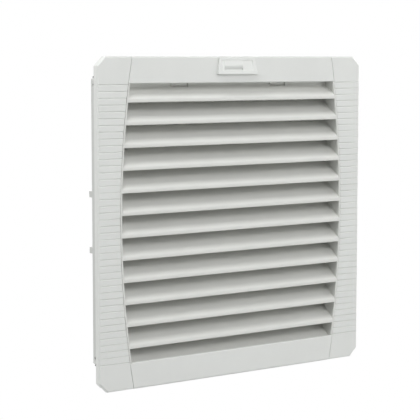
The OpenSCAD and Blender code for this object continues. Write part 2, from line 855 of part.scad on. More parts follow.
// U-shaped slit that frees a snap tongue in the wall over the first slat
module tongue_cut() {
    y_front = y_face + tongue_depth - overlap;
    y_back = y_face + tongue_depth + tongue_wall + overlap;
    foot = slat_first + slat_top(tongue_depth);
    block([-tongue_width / 2, y_front, foot], [tongue_width / 2, y_back, foot + tongue_slit]);
    for (side = [-1, 1]) translate([side * (tongue_width - tongue_slit) / 2, 0, 0])
        block([-tongue_slit / 2, y_front, foot],
            [tongue_slit / 2, y_back, shell_half - shell_wall - fit_gap]);
}

// Louvre insert: slats and sill between two bowed side walls. The first slat ends at the wall with
// the snap tongues, and a roof closes the top.
module louvre_grille() {
    tongue_rear = tongue_depth + tongue_wall;
    color(light_grey) {
        difference() {
            union() {
                bowed_block(strip_width, y_face, y_face_rear + shell_gap, shell_gap - opening_half,
                    opening_half - shell_gap);
                bowed_block(strip_width, y_face_rear + shell_gap, y_louvre_rear, -shell_half,
                    shell_half);
                bowed_block(strip_width + seat_width, y_rail_rear, y_rail_rear + seat_wall,
                    -seat_half, seat_half);
            }
            bowed(0, y_face - overlap, y_louvre_rear + overlap);
        }
        difference() {
            intersection() {
                bowed(strip_width / 2, y_face - overlap, y_louvre_rear + overlap);
                union() {
                    for (i = [0 : slat_count - 1])
                        translate([0, y_face, slat_first - i * slat_pitch])
                            bar(cover_size) slat_section(i == 0 ? tongue_rear : louvre_depth);
                    translate([0, y_face, -opening_half - shell_gap]) bar(cover_size) sill_section();
                    block([-cover_size, y_face_rear + shell_gap, shell_half - shell_wall],
                        [cover_size, y_louvre_rear, shell_half]);
                    block([-cover_size, y_face + tongue_depth,
                        slat_first + slat_top(tongue_depth) - slat_drop / 2],
                        [cover_size, y_face + tongue_rear, shell_half - shell_wall / 2]);
                }
            }
            for (side = [-1, 1]) translate([side * tongue_offset, 0, 0]) tongue_cut();
        }
    }
}

// Ribbed side trim on the right, seated on the rail of the cover
module side_trim(side) {
    groove_top = opening_half - groove_margin;
    groove_pitch = 2 * groove_top / (groove_count - 1);
    groove_side = groove_width / sqrt(2);
    groove_end = cover_half - edge_chamfer;
    color(light_grey) intersection() {
        difference() {
            slab(y_face, y_rail) cut_square(cover_half, cover_cut);
            bowed(trim_inner, y_face - overlap, y_rail + overlap);
            for (i = [0 : groove_count - 1])
                translate([0, y_face, groove_top - i * groove_pitch]) rotate([45, 0, 0])
                    cube([2 * groove_end, groove_side, groove_side], center = true);
            for (turn = [0 : 45 : 315]) rotate([0, turn, 0])
                translate([0, y_face, turn % 90 == 0 ? cover_half : cover_cut])
                    edge_cutter(edge_chamfer);
        }
        block([side > 0 ? 0 : -cover_size, y_face - overlap, -cover_size],
            [side > 0 ? cover_size : 0, overlap, cover_size]);
    }
}

module side_trim_left() {
    side_trim(-1);
}

module side_trim_right() {
    side_trim(1);
}

// Conical return spring under the latch arm
module latch_spring() {
    height = latch_arm_low - shell_half;
    count = ceil(spring_turns * spring_steps);
    wire_r = spring_wire / 2;
    function ring(i) = let (
            a = i * 360 / spring_steps,
            r = spring_radius - spring_taper * i / count,
            z = shell_half + wire_r + (height - spring_wire) * i / count)
        [for (j = [0 : spring_sides - 1]) let (b = j * 360 / spring_sides)
            [(r + wire_r * cos(b)) * cos(a), spring_y + (r + wire_r * cos(b)) * sin(a),
                z + wire_r * sin(b)]];
    points = [for (i = [0 : count]) each ring(i)];
    sides = [for (i = [0 : count - 1], j = [0 : spring_sides - 1]) let (k = (j + 1) % spring_sides)
        [i * spring_sides + j, i * spring_sides + k, (i + 1) * spring_sides + k,
            (i + 1) * spring_sides + j]];
    first_cap = [for (j = [spring_sides - 1 : -1 : 0]) j];
    last_cap = [for (j = [0 : spring_sides - 1]) count * spring_sides + j];
    color(steel) polyhedron(points, concat([first_cap], sides, [last_cap]));
}

// Button on the face: a wedge with a recessed field, a plain thumb bar in it, and the stem
module latch_button() {
    y_low = y_face - button_proud;
    y_top = y_face - button_top_proud;
    tilt = atan((button_proud - button_top_proud) / button_height);
    y_back = y_face - slide_gap;
    middle = (button_low + button_top) / 2;
    y_middle = (y_low + y_top) / 2;
    field_half = button_width_top / 2 - recess_border;
    field_top = button_height / 2 - recess_border;
    field_low = recess_low_border - button_height / 2;
    bar_low = field_top - bar_height;
    color(light_grey) {
        difference() {
            intersection() {
                slab(y_low - overlap, y_back) button_outline();
                bar(cover_size) polygon([[y_low, button_low], [y_top, button_top],
                    [y_back, button_top], [y_back, button_low]]);
            }
            translate([0, y_middle, middle]) rotate([-tilt, 0, 0]) {
                block([-field_half, -button_proud, field_low], [field_half, button_recess, field_top]);
                translate([-bar_shift, 0, 0]) block([-bar_width / 2, -button_proud, field_low],
                    [bar_width / 2, button_recess + bar_slot_depth, bar_low]);
            }
        }
        translate([-bar_shift, y_middle, middle]) rotate([-tilt, 0, 0])
            bar(bar_width) polygon([[overlap, bar_low], [button_recess, bar_low],
                [-bar_proud, bar_low + bar_flank], [bar_top_sink, field_top], [overlap, field_top]]);
        block([-stem_half, y_back - slide_gap, stem_low],
            [stem_half, slider_y, stem_low + stem_height]);
    }
}

// Slider behind the face with the arm and nose that reach under the keeper
module latch_slider() {
    color(light_grey) {
        block([-slider_half, slider_y, latch_arm_low],
            [slider_half, slider_y + slider_wall, slider_top]);
        block([-latch_arm_half, slider_y, latch_arm_low],
            [latch_arm_half, y_latch_arm, latch_arm_top]);
        bar(2 * latch_arm_half) polygon([[y_latch_arm - latch_nose_length, latch_arm_low],
            [y_latch_arm, latch_arm_low], [y_latch_arm, latch_arm_top],
            [y_latch_arm - latch_nose_length, latch_nose]]);
    }
}

// Steel cup of the outer rotor with the hub that holds the shaft
module rotor_cup() {
    color(fan_black) difference() {
        union() {
            difference() {
                rod(rotor_r, y_rotor, y_rotor_rear, big_fn);
                rod(rotor_r - rotor_wall, y_rotor + rotor_wall, y_rotor_rear + overlap, big_fn);
            }
            rod(rotor_hub_r, y_rotor, y_rotor + rotor_wall + rotor_hub_length);
        }
        rod(shaft_r, y_rotor + rotor_wall, y_rotor_rear);
    }
}

// One twisted and swept blade, lofted from the hub to the tip
module blade() {
    root_r = rotor_r + hub_wall / 2;
    function middle(u, v) = let (
            r = root_r + (blade_tip_r - root_r) * u,
            chord = chord_root + (chord_tip - chord_root) * u,
            pitch = pitch_root + (pitch_tip - pitch_root) * u,
            across = (v - 0.5) * chord,
            bulge = blade_camber * (1 - (2 * v - 1) ^ 2))
        [r, blade_sweep * u ^ sweep_power + (across * cos(pitch) - bulge * sin(pitch)) * 180 / (PI * r),
            across * sin(pitch) + bulge * cos(pitch), pitch];
    function skin(u, v, side) = let (
            m = middle(u, v),
            t = side * blade_wall / 2 * (1 - (1 - blade_edge) * (2 * v - 1) ^ 2),
            a = m[1] - t * sin(m[3]) * 180 / (PI * m[0]))
        [m[0] * cos(a), y_blade + m[2] + t * cos(m[3]), m[0] * sin(a)];
    row = blade_chords + 1;
    layer = row * (blade_spans + 1);
    points = [for (side = [-1, 1], i = [0 : blade_spans], j = [0 : blade_chords])
        skin(i / blade_spans, j / blade_chords, side)];
    low = [for (i = [0 : blade_spans - 1], j = [0 : blade_chords - 1]) let (k = i * row + j)
        each [[k, k + row + 1, k + row], [k, k + 1, k + row + 1]]];
    high = [for (f = low) [f[0] + layer, f[2] + layer, f[1] + layer]];
    edge = concat([for (j = [0 : blade_chords]) j],
        [for (i = [1 : blade_spans]) i * row + blade_chords],
        [for (j = [1 : blade_chords]) blade_spans * row + blade_chords - j],
        [for (i = [1 : blade_spans - 1]) (blade_spans - i) * row]);
    band = [for (i = [0 : len(edge) - 1]) let (a = edge[i], b = edge[(i + 1) % len(edge)])
        each [[a, b + layer, b], [a, a + layer, b + layer]]];
    polyhedron(points, concat(low, high, band));
}

module impeller() {
    color(fan_black) {
        difference() {
            rod(hub_r, y_rotor + hub_margin, y_rotor_rear - hub_margin, big_fn);
            rod(rotor_r, y_rotor, y_rotor_rear, big_fn);
        }
        for (i = [0 : blade_count - 1]) rotate([0, i * 360 / blade_count, 0]) blade();
    }
}

module rotor_shaft() {
    shaft_end = 0.6;
    color(steel) rod(shaft_r, y_rotor + rotor_wall, y_motor - shaft_end);
}

module retaining_ring() {
    color(steel) difference() {
        rod(ring_r, y_retaining, y_retaining + ring_wall);
        rod(shaft_r, y_retaining - overlap, y_retaining + ring_wall + overlap);
    }
}

// Spring lever that snaps in behind the edge of the cut-out
module corner_clip(sx, sz) {
    tip = tray_cut + clip_reach;
    heel = clip_pivot_s + clip_heel_shift;
    color(clip_grey) at_corner(sx, sz) difference() {
        union() {
            translate([clip_pivot_s, y_clip_pivot, -clip_width / 2])
                cylinder(r = clip_eye, h = clip_width, $fn = round_fn);
            translate([0, 0, -clip_width / 2]) linear_extrude(height = clip_width)
                polygon([[clip_pivot_s - clip_arm_wall, y_clip_pivot], [heel, clip_heel],
                    [tray_cut, clip_grip], [tip, clip_grip], [tip, clip_grip + clip_tip_wall],
                    [heel + 2 * clip_arm_wall, clip_ramp_end],
                    [clip_pivot_s + clip_arm_wall, y_clip_pivot]]);
            block([clip_pivot_s, y_clip_pivot + clip_eye - clip_tab_wall, -clip_width / 2],
                [tray_cut + clip_tab, y_clip_pivot + clip_eye, clip_width / 2]);
        }
        translate([clip_pivot_s, y_clip_pivot, -clip_width])
            cylinder(r = clip_pin / 2 + run_gap, h = 2 * clip_width, $fn = round_fn);
    }
}

module clip_top_left() {
    corner_clip(-1, 1);
}

module clip_top_right() {
    corner_clip(1, 1);
}

module clip_bottom_left() {
    corner_clip(-1, -1);
}

module clip_bottom_right() {
    corner_clip(1, -1);
}

housing_tray();
panel_gasket();
filter_mat();
support_grid();
fan_carrier();
guard_grille();
guard_screws();
motor_flange();
motor_screws();
stator_core();
stator_windings();
front_bearing();
rear_bearing();
terminal_block();
terminal_clamps();
terminal_screws();
hinge_pins();
clip_pins();
cover_frame();
louvre_grille();
side_trim_left();
side_trim_right();
latch_spring();
latch_button();
latch_slider();
rotor_cup();
impeller();
rotor_shaft();
retaining_ring();
clip_top_left();
clip_top_right();
clip_bottom_left();
clip_bottom_right();
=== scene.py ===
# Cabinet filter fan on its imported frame, in the order in which the fan is put together.
from math import cos, hypot, radians, sin, tau

import bmesh
import bpy
from mathutils import Matrix, Vector, noise


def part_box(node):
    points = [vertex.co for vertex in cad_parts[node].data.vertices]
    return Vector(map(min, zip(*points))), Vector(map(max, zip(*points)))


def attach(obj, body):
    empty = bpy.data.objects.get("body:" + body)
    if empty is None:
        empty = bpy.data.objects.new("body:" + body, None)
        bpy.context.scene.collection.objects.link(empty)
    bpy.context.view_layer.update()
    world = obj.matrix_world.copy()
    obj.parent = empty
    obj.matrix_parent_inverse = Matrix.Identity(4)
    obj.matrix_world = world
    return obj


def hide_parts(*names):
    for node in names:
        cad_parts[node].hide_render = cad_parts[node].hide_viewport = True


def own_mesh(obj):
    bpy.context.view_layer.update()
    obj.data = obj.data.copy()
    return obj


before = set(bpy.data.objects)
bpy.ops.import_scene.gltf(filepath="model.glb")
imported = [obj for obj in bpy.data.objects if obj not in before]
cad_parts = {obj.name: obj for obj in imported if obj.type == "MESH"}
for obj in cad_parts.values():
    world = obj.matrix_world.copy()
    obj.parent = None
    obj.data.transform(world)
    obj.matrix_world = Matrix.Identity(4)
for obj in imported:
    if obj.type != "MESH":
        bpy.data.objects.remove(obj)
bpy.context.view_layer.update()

# Tray: the shallow box that sits in the cut-out, with its flange in front of the panel.
# Light grey impact-proof plastic, injection moulded in one piece with its pockets, hooks and
# hinge ears. Its outer edges carry the small radius of the mould.
MM = 0.001


class Shade:
    """A socket of a material or of the world. Sums and products of it add Math nodes beside it."""

    def __init__(self, tree, socket):
        self.tree = tree
        self.socket = socket

    def node(self, kind, settings, sockets, output=0):
        made = self.tree.nodes.new(kind)
        for name, value in settings.items():
            setattr(made, name, value)
        for name, value in sockets.items():
            if isinstance(value, Shade):
                self.tree.links.new(value.socket, made.inputs[name])
            else:
                made.inputs[name].default_value = value
        return Shade(self.tree, made.outputs[output])

    def math(self, operation, first, second):
        return self.node("ShaderNodeMath", {"operation": operation}, {0: first, 1: second})

    def __add__(self, other):
        return self.math("ADD", self, other)

    def __radd__(self, other):
        return self.math("ADD", other, self)

    def __sub__(self, other):
        return self.math("SUBTRACT", self, other)

    def __rsub__(self, other):
        return self.math("SUBTRACT", other, self)

    def __mul__(self, other):
        return self.math("MULTIPLY", self, other)

    def __rmul__(self, other):
        return self.math("MULTIPLY", other, self)

    def noise(self, scale, detail=2.0, stretch=(1.0, 1.0, 1.0)):
        place = self.node("ShaderNodeMapping", {}, {"Vector": self, "Scale": stretch})
        return self.node("ShaderNodeTexNoise", {}, {"Vector": place, "Scale": scale, "Detail": detail})

    def mix(self, factor, first, second):
        colour_a, colour_b, colour_result = 6, 7, 2
        sockets = {0: factor, colour_a: first, colour_b: second}
        return self.node("ShaderNodeMix", {"data_type": "RGBA"}, sockets, colour_result)

    def bump(self, strength, depth):
        return self.node("ShaderNodeBump", {}, {"Strength": strength, "Distance": depth, "Height": self})


def paint(red, green, blue):
    """Screen colour, 0 to 255, as the linear colour that a shader takes."""
    def linear(level):
        share = level / 255
        return share / 12.92 if share <= 0.04045 else ((share + 0.055) / 1.055) ** 2.4
    return (linear(red), linear(green), linear(blue), 1.0)


def new_finish(name, constants):
    """New material: the material, its surface shader and the place on the piece."""
    material = bpy.data.materials.new(name)
    material.use_nodes = True
    tree = material.node_tree
    surface = tree.nodes["Principled BSDF"]
    for socket, value in constants.items():
        surface.inputs[socket].default_value = value
    place = Shade(tree, tree.nodes.new("ShaderNodeTexCoord").outputs["Object"])
    return material, surface, place


def lay_on(surface, layers):
    """Feeds what changes over the surface into its shader."""
    for socket, value in layers.items():
        value.tree.links.new(value.socket, surface.inputs[socket])


def moulded_plastic(name, dark, light, roughness, grain):
    """Spark-eroded mould grain on plastic with a faint cloud of flow marks."""
    material, surface, place = new_finish(name, {"Specular IOR Level": 0.42})
    cloud = place.noise(scale=38, detail=4.0)
    flow = place.noise(scale=9, stretch=(1.0, 1.0, 2.6))
    eroded = place.noise(scale=2300, detail=3.0)
    tone = place.node("ShaderNodeClamp", {}, {"Value": cloud * 0.7 + flow * 0.5 - 0.1})
    lay_on(surface, {
        "Base Color": place.mix(tone, paint(*dark), paint(*light)),
        "Roughness": roughness + (cloud - 0.5) * 0.1 + (eroded - 0.5) * 0.08,
        "Normal": eroded.bump(strength=grain, depth=0.05 * MM),
    })
    return material


def rounded_copy(node, radius, segments=2):
    """Merged copy of a CAD node with its sharp outer edges rounded."""
    same_point = 0.001 * MM
    flat_angle = radians(0.1)
    sharp_angle = radians(30)
    shortest_edge = 2.5 * radius
    shape = bmesh.new()
    shape.from_mesh(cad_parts[node].data)
    bmesh.ops.remove_doubles(shape, verts=shape.verts[:], dist=same_point)
    bmesh.ops.dissolve_limit(shape, angle_limit=flat_angle, verts=shape.verts[:], edges=shape.edges[:])
    sharp = [
        edge for edge in shape.edges
        if edge.is_manifold and edge.is_convex
        and edge.calc_face_angle() > sharp_angle and edge.calc_length() > shortest_edge
    ]
    bmesh.ops.bevel(
        shape, geom=sharp, offset=radius, offset_type="OFFSET", segments=segments, profile=0.5,
        affect="EDGES", clamp_overlap=False, material=-1,
    )
    return shape


def seat(shape, name, material, body, slot, *nodes):
    """Makes the finished piece and lets it stand for its CAD nodes."""
    crease_angle = radians(38)
    mesh = bpy.data.meshes.new(name)
    shape.to_mesh(mesh)
    shape.free()
    mesh.shade_smooth()
    mesh.set_sharp_from_angle(angle=crease_angle)
    mesh.materials.append(material)
    piece = bpy.data.objects.new(name, mesh)
    bpy.context.scene.collection.objects.link(piece)
    even = piece.modifiers.new("even shading", "WEIGHTED_NORMAL")
    even.keep_sharp = True
    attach(piece, body)
    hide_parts(*nodes)
    return piece


tray_grey = moulded_plastic("tray plastic", dark=(196, 198, 195), light=(212, 214, 211),
                            roughness=0.5, grain=0.25)
seat(rounded_copy("housing_tray", radius=0.3 * MM), "tray_moulding", tray_grey, "housing",
     "tray_plastic", "housing_tray")

# Gasket: a ring of dark cellular foam, laid on the rear of the flange and pressed on the panel.
# Its skin is open cells, and its long edges are soft.


def cellular_foam(name, dark, light):
    """Open-celled foam: small pits of uneven size in a dull skin."""
    material, surface, place = new_finish(name, {"Roughness": 0.9, "Specular IOR Level": 0.25})
    pits = place.node("ShaderNodeTexVoronoi", {}, {"Vector": place, "Scale": 900.0})
    cloud = place.noise(scale=120, detail=3.0)
    lay_on(surface, {
        "Base Color": place.mix(pits * 0.6 + cloud * 0.5, paint(*dark), paint(*light)),
        "Normal": pits.bump(strength=0.7, depth=0.3 * MM),
    })
    return material


seal_foam = cellular_foam("seal foam", dark=(34, 35, 37), light=(70, 72, 74))
seat(rounded_copy("panel_gasket", radius=0.35 * MM, segments=3), "gasket_ring", seal_foam, "housing",
     "gasket_foam", "panel_gasket")

# Corner clips: four dark levers that snap behind the edge of the cut-out.
# Tough plastic, moulded in one piece, each hung on a pin in its pocket of the tray.
clip_dark = moulded_plastic("clip plastic", dark=(38, 39, 41), light=(54, 55, 57),
                            roughness=0.46, grain=0.3)
for corner in ("top_left", "top_right", "bottom_left", "bottom_right"):
    seat(rounded_copy(f"clip_{corner}", radius=0.3 * MM), f"{corner}_clip_lever", clip_dark,
         f"{corner}_clip", "clip_plastic", f"clip_{corner}")

# Pins of the corner clips and of the cover's hinge: short lengths of bright drawn steel.
# They are cut to length, turned at their ends and pushed into the pockets and ears of the tray.


def drawn_metal(name, dark, light, roughness):
    """Bright metal with fine marks from drawing or turning."""
    material, surface, place = new_finish(name, {"Metallic": 1.0})
    marks = place.noise(scale=700, detail=3.0, stretch=(1.0, 6.0, 1.0))
    stain = place.noise(scale=160)
    lay_on(surface, {
        "Base Color": place.mix(stain, paint(*dark), paint(*light)),
        "Roughness": roughness + (marks - 0.5) * 0.16 + (stain - 0.5) * 0.1,
        "Normal": marks.bump(strength=0.2, depth=0.03 * MM),
    })
    return material


bright_steel = drawn_metal("bright steel", dark=(178, 180, 184), light=(206, 208, 211), roughness=0.32)
for pins in ("clip_pins", "hinge_pins"):
    seat(rounded_copy(pins, radius=0.15 * MM), f"{pins}_turned", bright_steel, "housing",
         "bright_steel", pins)

# Support grid: the flat lattice that keeps the mat off the impeller.
# Moulded in the tray's plastic, and laid on the fan carrier.
seat(rounded_copy("support_grid", radius=0.3 * MM), "support_grid_moulding", tray_grey, "housing",
     "tray_plastic", "support_grid")

# Filter mat: a pad of white polyester fleece, cut to the tray and laid on the grid.
# It is bonded from crimped fibres, so its faces are uneven and its edges are soft.


def bonded_fleece(name, shadow, light):
    """Crimped fibres in several directions, with painted shade between them."""
    material, surface, place = new_finish(name, {
        "Roughness": 0.95, "Specular IOR Level": 0.15, "Sheen Weight": 0.1})
    tangle = place.noise(scale=240, detail=5.0)
    for turn in (15, 75, 135):
        laid = place.node("ShaderNodeMapping", {"vector_type": "TEXTURE"}, {
            "Vector": place, "Rotation": (0.0, radians(turn), 0.0), "Scale": (1.0, 1.0, 0.11)})
        strand = place.node("ShaderNodeTexNoise", {}, {
            "Vector": laid, "Scale": 105.0, "Detail": 4.0, "Distortion": 1.6})
        tangle = place.math("MAXIMUM", tangle * 0.94, strand)
    wad = place.noise(scale=60, detail=3.0)
    # Painted shade: the base colour goes from the shadow colour between the strands to the light colour
    # on them.
    depth = place.node("ShaderNodeClamp", {}, {"Value": tangle * 4.2 + wad * 0.5 - 2.2})
    lay_on(surface, {
        "Base Color": place.mix(depth, paint(*shadow), paint(*light)),
        "Normal": (tangle + wad * 0.3).bump(strength=0.5, depth=1.0 * MM),
    })
    return material


def fleece_pad(node):
    """Remeshed copy of the mat's solid with soft edges and an uneven face."""
    cell = 2.6 * MM
    swell = 0.5 * MM
    smooth_passes = 3
    wad_scale = 90
    tuft_scale = 260
    block = bpy.data.objects.new("mat block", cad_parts[node].data.copy())
    bpy.context.scene.collection.objects.link(block)
    cells = block.modifiers.new("cells", "REMESH")
    cells.mode = "VOXEL"
    cells.voxel_size = cell
    drawn = block.evaluated_get(bpy.context.evaluated_depsgraph_get())
    shape = bmesh.new()
    shape.from_mesh(drawn.to_mesh())
    bpy.data.objects.remove(block)
    for _ in range(smooth_passes):
        bmesh.ops.smooth_vert(shape, verts=shape.verts[:], factor=0.5, use_axis_x=True,
                              use_axis_y=True, use_axis_z=True)
    shape.normal_update()
    for vertex in shape.verts:
        wad = noise.noise(vertex.co * wad_scale) * 0.6 + noise.noise(vertex.co * tuft_scale) * 0.4
        vertex.co -= vertex.normal * swell * (1 + wad)
    return shape


# The shadow colour is painted shade between the fibres of the mat.
white_fleece = bonded_fleece("white fleece", shadow=(218, 218, 213), light=(255, 255, 253))
mat = seat(fleece_pad("filter_mat"), "fleece_mat", white_fleece, "housing", "filter_fleece",
           "filter_mat")

# Fan carrier: the rear plate of the tray with the round shroud, its gussets and four bosses.
# Moulded in the tray's plastic, and held by the eight snap hooks of the tray.
seat(rounded_copy("fan_carrier", radius=0.4 * MM), "fan_carrier_moulding", tray_grey, "housing",
     "tray_plastic", "fan_carrier")

# Motor: cast flange with its bearing tube, laminated core, copper windings and two bearings.
# The flange is die-cast aluminium. The core of steel sheets is pressed on its tube, with a ring
# of windings at each end, and the bearings sit inside the tube.


def cast_metal(name, dark, light):
    """Die-cast skin: dull grey with a fine orange-peel and flow shadows."""
    material, surface, place = new_finish(name, {"Metallic": 0.9})
    peel = place.noise(scale=520, detail=4.0)
    flow = place.noise(scale=60, detail=3.0)
    lay_on(surface, {
        "Base Color": place.mix(flow, paint(*dark), paint(*light)),
        "Roughness": 0.5 + (peel - 0.5) * 0.25,
        "Normal": peel.bump(strength=0.35, depth=0.08 * MM),
    })
    return material


def sheet_stack(name, dark, light):
    """Thin steel sheets, one on the other along the shaft."""
    material, surface, place = new_finish(name, {"Metallic": 0.85, "Roughness": 0.45})
    layers = place.node("ShaderNodeTexWave", {"bands_direction": "Y"},
                        {"Vector": place, "Scale": 320.0, "Distortion": 0.4})
    lay_on(surface, {
        "Base Color": place.mix(layers, paint(*dark), paint(*light)),
        "Normal": layers.bump(strength=0.5, depth=0.1 * MM),
    })
    return material


def wound_copper(name, dark, light):
    """Enamelled wire laid round the motor's axis."""
    material, surface, place = new_finish(name, {
        "Metallic": 0.8, "Coat Weight": 0.6, "Coat Roughness": 0.2})
    turns = place.node("ShaderNodeTexWave", {"wave_type": "RINGS", "rings_direction": "Y"},
                       {"Vector": place, "Scale": 260.0, "Distortion": 1.5})
    lay_on(surface, {
        "Base Color": place.mix(turns, paint(*dark), paint(*light)),
        "Roughness": 0.3 + turns * 0.15,
        "Normal": turns.bump(strength=0.8, depth=0.3 * MM),
    })
    return material


def wear_material(material, slot, *nodes):
    """Gives CAD nodes whose shape is right their finish."""
    for node in nodes:
        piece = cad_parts[node]
        piece.data.materials.clear()
        piece.data.materials.append(material)


cast_grey = cast_metal("cast aluminium", dark=(150, 152, 154), light=(186, 188, 190))
seat(rounded_copy("motor_flange", radius=0.5 * MM), "motor_flange_casting", cast_grey, "housing",
     "cast_aluminium", "motor_flange")
motor_sheets = sheet_stack("motor sheets", dark=(96, 98, 102), light=(140, 142, 146))
wear_material(motor_sheets, "motor_steel", "stator_core")
winding_copper = wound_copper("winding copper", dark=(120, 58, 26), light=(196, 112, 58))
wear_material(winding_copper, "winding_copper", "stator_windings")
wear_material(bright_steel, "bright_steel", "front_bearing", "rear_bearing")

# Rotor: the deep-drawn steel cup that turns round the stator, coated black.
# The steel shaft is pressed into its hub and runs in both bearings, held by a retaining ring.


def coated_metal(name, dark, light, roughness, peel_scale):
    """Powder coat: an even black with a fine orange-peel."""
    material, surface, place = new_finish(name, {"Specular IOR Level": 0.5})
    peel = place.noise(scale=peel_scale)
    dust = place.noise(scale=70, detail=4.0)
    lay_on(surface, {
        "Base Color": place.mix(dust, paint(*dark), paint(*light)),
        "Roughness": roughness + (peel - 0.5) * 0.2 + (dust - 0.5) * 0.12,
        "Normal": peel.bump(strength=0.3, depth=0.06 * MM),
    })
    return material


rotor_black = coated_metal("rotor paint", dark=(24, 24, 26), light=(36, 36, 38), roughness=0.42,
                           peel_scale=800)
seat(rounded_copy("rotor_cup", radius=0.8 * MM, segments=3), "rotor_cup_drawn", rotor_black, "rotor",
     "rotor_paint", "rotor_cup")
wear_material(bright_steel, "bright_steel", "rotor_shaft", "retaining_ring")

# Impeller: seven sickle blades on a hub ring that is pressed over the rotor cup.
# Black glass-filled plastic, moulded in one piece, with flow lines along the blades.


def filled_plastic(name, dark, light):
    """Glass-filled plastic: short pale streaks in a satin black."""
    material, surface, place = new_finish(name, {"Specular IOR Level": 0.4})
    fibres = place.noise(scale=900, detail=3.0, stretch=(1.0, 1.0, 4.0))
    flow = place.noise(scale=40, detail=3.0)
    lay_on(surface, {
        "Base Color": place.mix(fibres * 0.6 + flow * 0.4, paint(*dark), paint(*light)),
        "Roughness": 0.44 + (fibres - 0.5) * 0.2 + (flow - 0.5) * 0.12,
        "Normal": fibres.bump(strength=0.2, depth=0.04 * MM),
    })
    return material


def part_blades(shape, hub_radius):
    """Parts the blades from the hub ring, so that each surface is shaded on its own."""
    ring = {face for face in shape.faces if all(hypot(v.co.x, v.co.z) < hub_radius for v in face.verts)}
    roots = [
        edge for edge in shape.edges
        if edge.is_manifold and (edge.link_faces[0] in ring) != (edge.link_faces[1] in ring)
    ]
    bmesh.ops.split_edges(shape, edges=roots)
    return shape


impeller_black = filled_plastic("impeller plastic", dark=(22, 22, 24), light=(42, 42, 44))
seat(part_blades(rounded_copy("impeller", radius=0.2 * MM), hub_radius=47.5 * MM),
     "impeller_moulding", impeller_black, "rotor", "impeller_plastic", "impeller")

# Guard: rings of steel wire welded on four arms, with the plate that carries the motor.
# Powder-coated black, and screwed on the bosses of the shroud.
guard_black = coated_metal("guard coating", dark=(20, 20, 22), light=(34, 34, 36), roughness=0.38,
                           peel_scale=1100)
seat(rounded_copy("guard_grille", radius=0.25 * MM), "guard_wirework", guard_black, "housing",
     "guard_coating", "guard_grille")

# Screws of guard, motor and terminal block: zinc-plated steel, with pan heads and a cross recess.
# Formed in one blow, with a soft edge round the head.


def screw_blank(low_y, high_y, head_radius, head_height, shank_radius):
    """Pan-head screw along Y before its recess is struck."""
    turn_steps = 36
    same_point = 0.001 * MM
    seat_y = high_y - head_height
    outline = [
        (0.0, low_y), (0.7 * shank_radius, low_y), (shank_radius, low_y + 0.6 * shank_radius),
        (shank_radius, seat_y), (head_radius, seat_y), (head_radius, seat_y + 0.45 * head_height),
        (0.92 * head_radius, seat_y + 0.75 * head_height), (0.7 * head_radius, high_y), (0.0, high_y),
    ]
    blank = bmesh.new()
    profile = [blank.verts.new((x, y, 0.0)) for x, y in outline]
    for first, second in zip(profile, profile[1:]):
        blank.edges.new((first, second))
    bmesh.ops.spin(blank, geom=blank.verts[:] + blank.edges[:], cent=(0, 0, 0), axis=(0, 1, 0),
                   angle=tau, steps=turn_steps, use_merge=True)
    bmesh.ops.remove_doubles(blank, verts=blank.verts[:], dist=same_point)
    bmesh.ops.recalc_face_normals(blank, faces=blank.faces[:])
    return blank


def cross_punch(high_y, head_radius, head_height):
    """Two crossed bars that strike the recess into the head."""
    slot_width = 0.36 * head_radius
    slot_length = 1.15 * head_radius
    slot_depth = 0.6 * head_height
    punch = bmesh.new()
    for width, length in ((slot_width, slot_length), (slot_length, slot_width)):
        bmesh.ops.create_cube(punch, size=1.0, matrix=Matrix.Translation((0, high_y, 0))
                              @ Matrix.Diagonal((width, 2 * slot_depth, length, 1)))
    return punch


def plain_object(shape, name):
    """Object of a shape alone, for what is no piece of the fan."""
    mesh = bpy.data.meshes.new(name)
    shape.to_mesh(mesh)
    shape.free()
    made = bpy.data.objects.new(name, mesh)
    bpy.context.scene.collection.objects.link(made)
    return made


def cross_screws(node, head_radius, head_height, shank_radius):
    """Pan-head screws with a cross recess, at the places of the node's own screws."""
    digits = 4
    low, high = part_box(node)
    blank = screw_blank(low.y, high.y, head_radius, head_height, shank_radius)
    screw = plain_object(blank, "screw blank")
    cutter = plain_object(cross_punch(high.y, head_radius, head_height), "cross punch")
    strike = screw.modifiers.new("strike", "BOOLEAN")
    strike.operation = "DIFFERENCE"
    strike.object = cutter
    strike.use_self = True
    bpy.context.view_layer.update()
    struck = screw.evaluated_get(bpy.context.evaluated_depsgraph_get()).to_mesh()
    shape = bmesh.new()
    for x in sorted({round(low.x + head_radius, digits), round(high.x - head_radius, digits)}):
        for z in sorted({round(low.z + head_radius, digits), round(high.z - head_radius, digits)}):
            start = len(shape.verts)
            shape.from_mesh(struck)
            shape.verts.ensure_lookup_table()
            bmesh.ops.translate(shape, verts=shape.verts[start:], vec=(x, 0, z))
    bpy.data.objects.remove(screw)
    bpy.data.objects.remove(cutter)
    return shape


screw_head_height = 2.4 * MM
for node, head_radius, shank_radius in (
    ("guard_screws", 3.8 * MM, 1.6 * MM), ("motor_screws", 3.8 * MM, 2.0 * MM),
    ("terminal_screws", 2.8 * MM, 1.6 * MM),
):
    seat(cross_screws(node, head_radius, screw_head_height, shank_radius), f"{node}_plated",
         bright_steel, "housing", "bright_steel", node)

# Terminal block: three bays with a brass clamp in each, screwed on the carrier plate.
# The body is moulded in pale grey plastic that withstands heat, and the clamps are pushed in.
terminal_grey = moulded_plastic("terminal plastic", dark=(176, 178, 178), light=(194, 196, 196),
                                roughness=0.4, grain=0.2)
seat(rounded_copy("terminal_block", radius=0.25 * MM), "terminal_body", terminal_grey, "housing",
     "terminal_plastic", "terminal_block")
terminal_brass = drawn_metal("terminal brass", dark=(178, 142, 66), light=(214, 180, 96), roughness=0.3)
seat(rounded_copy("terminal_clamps", radius=0.25 * MM), "terminal_clamp_blocks", terminal_brass,
     "housing", "terminal_brass", "terminal_clamps")

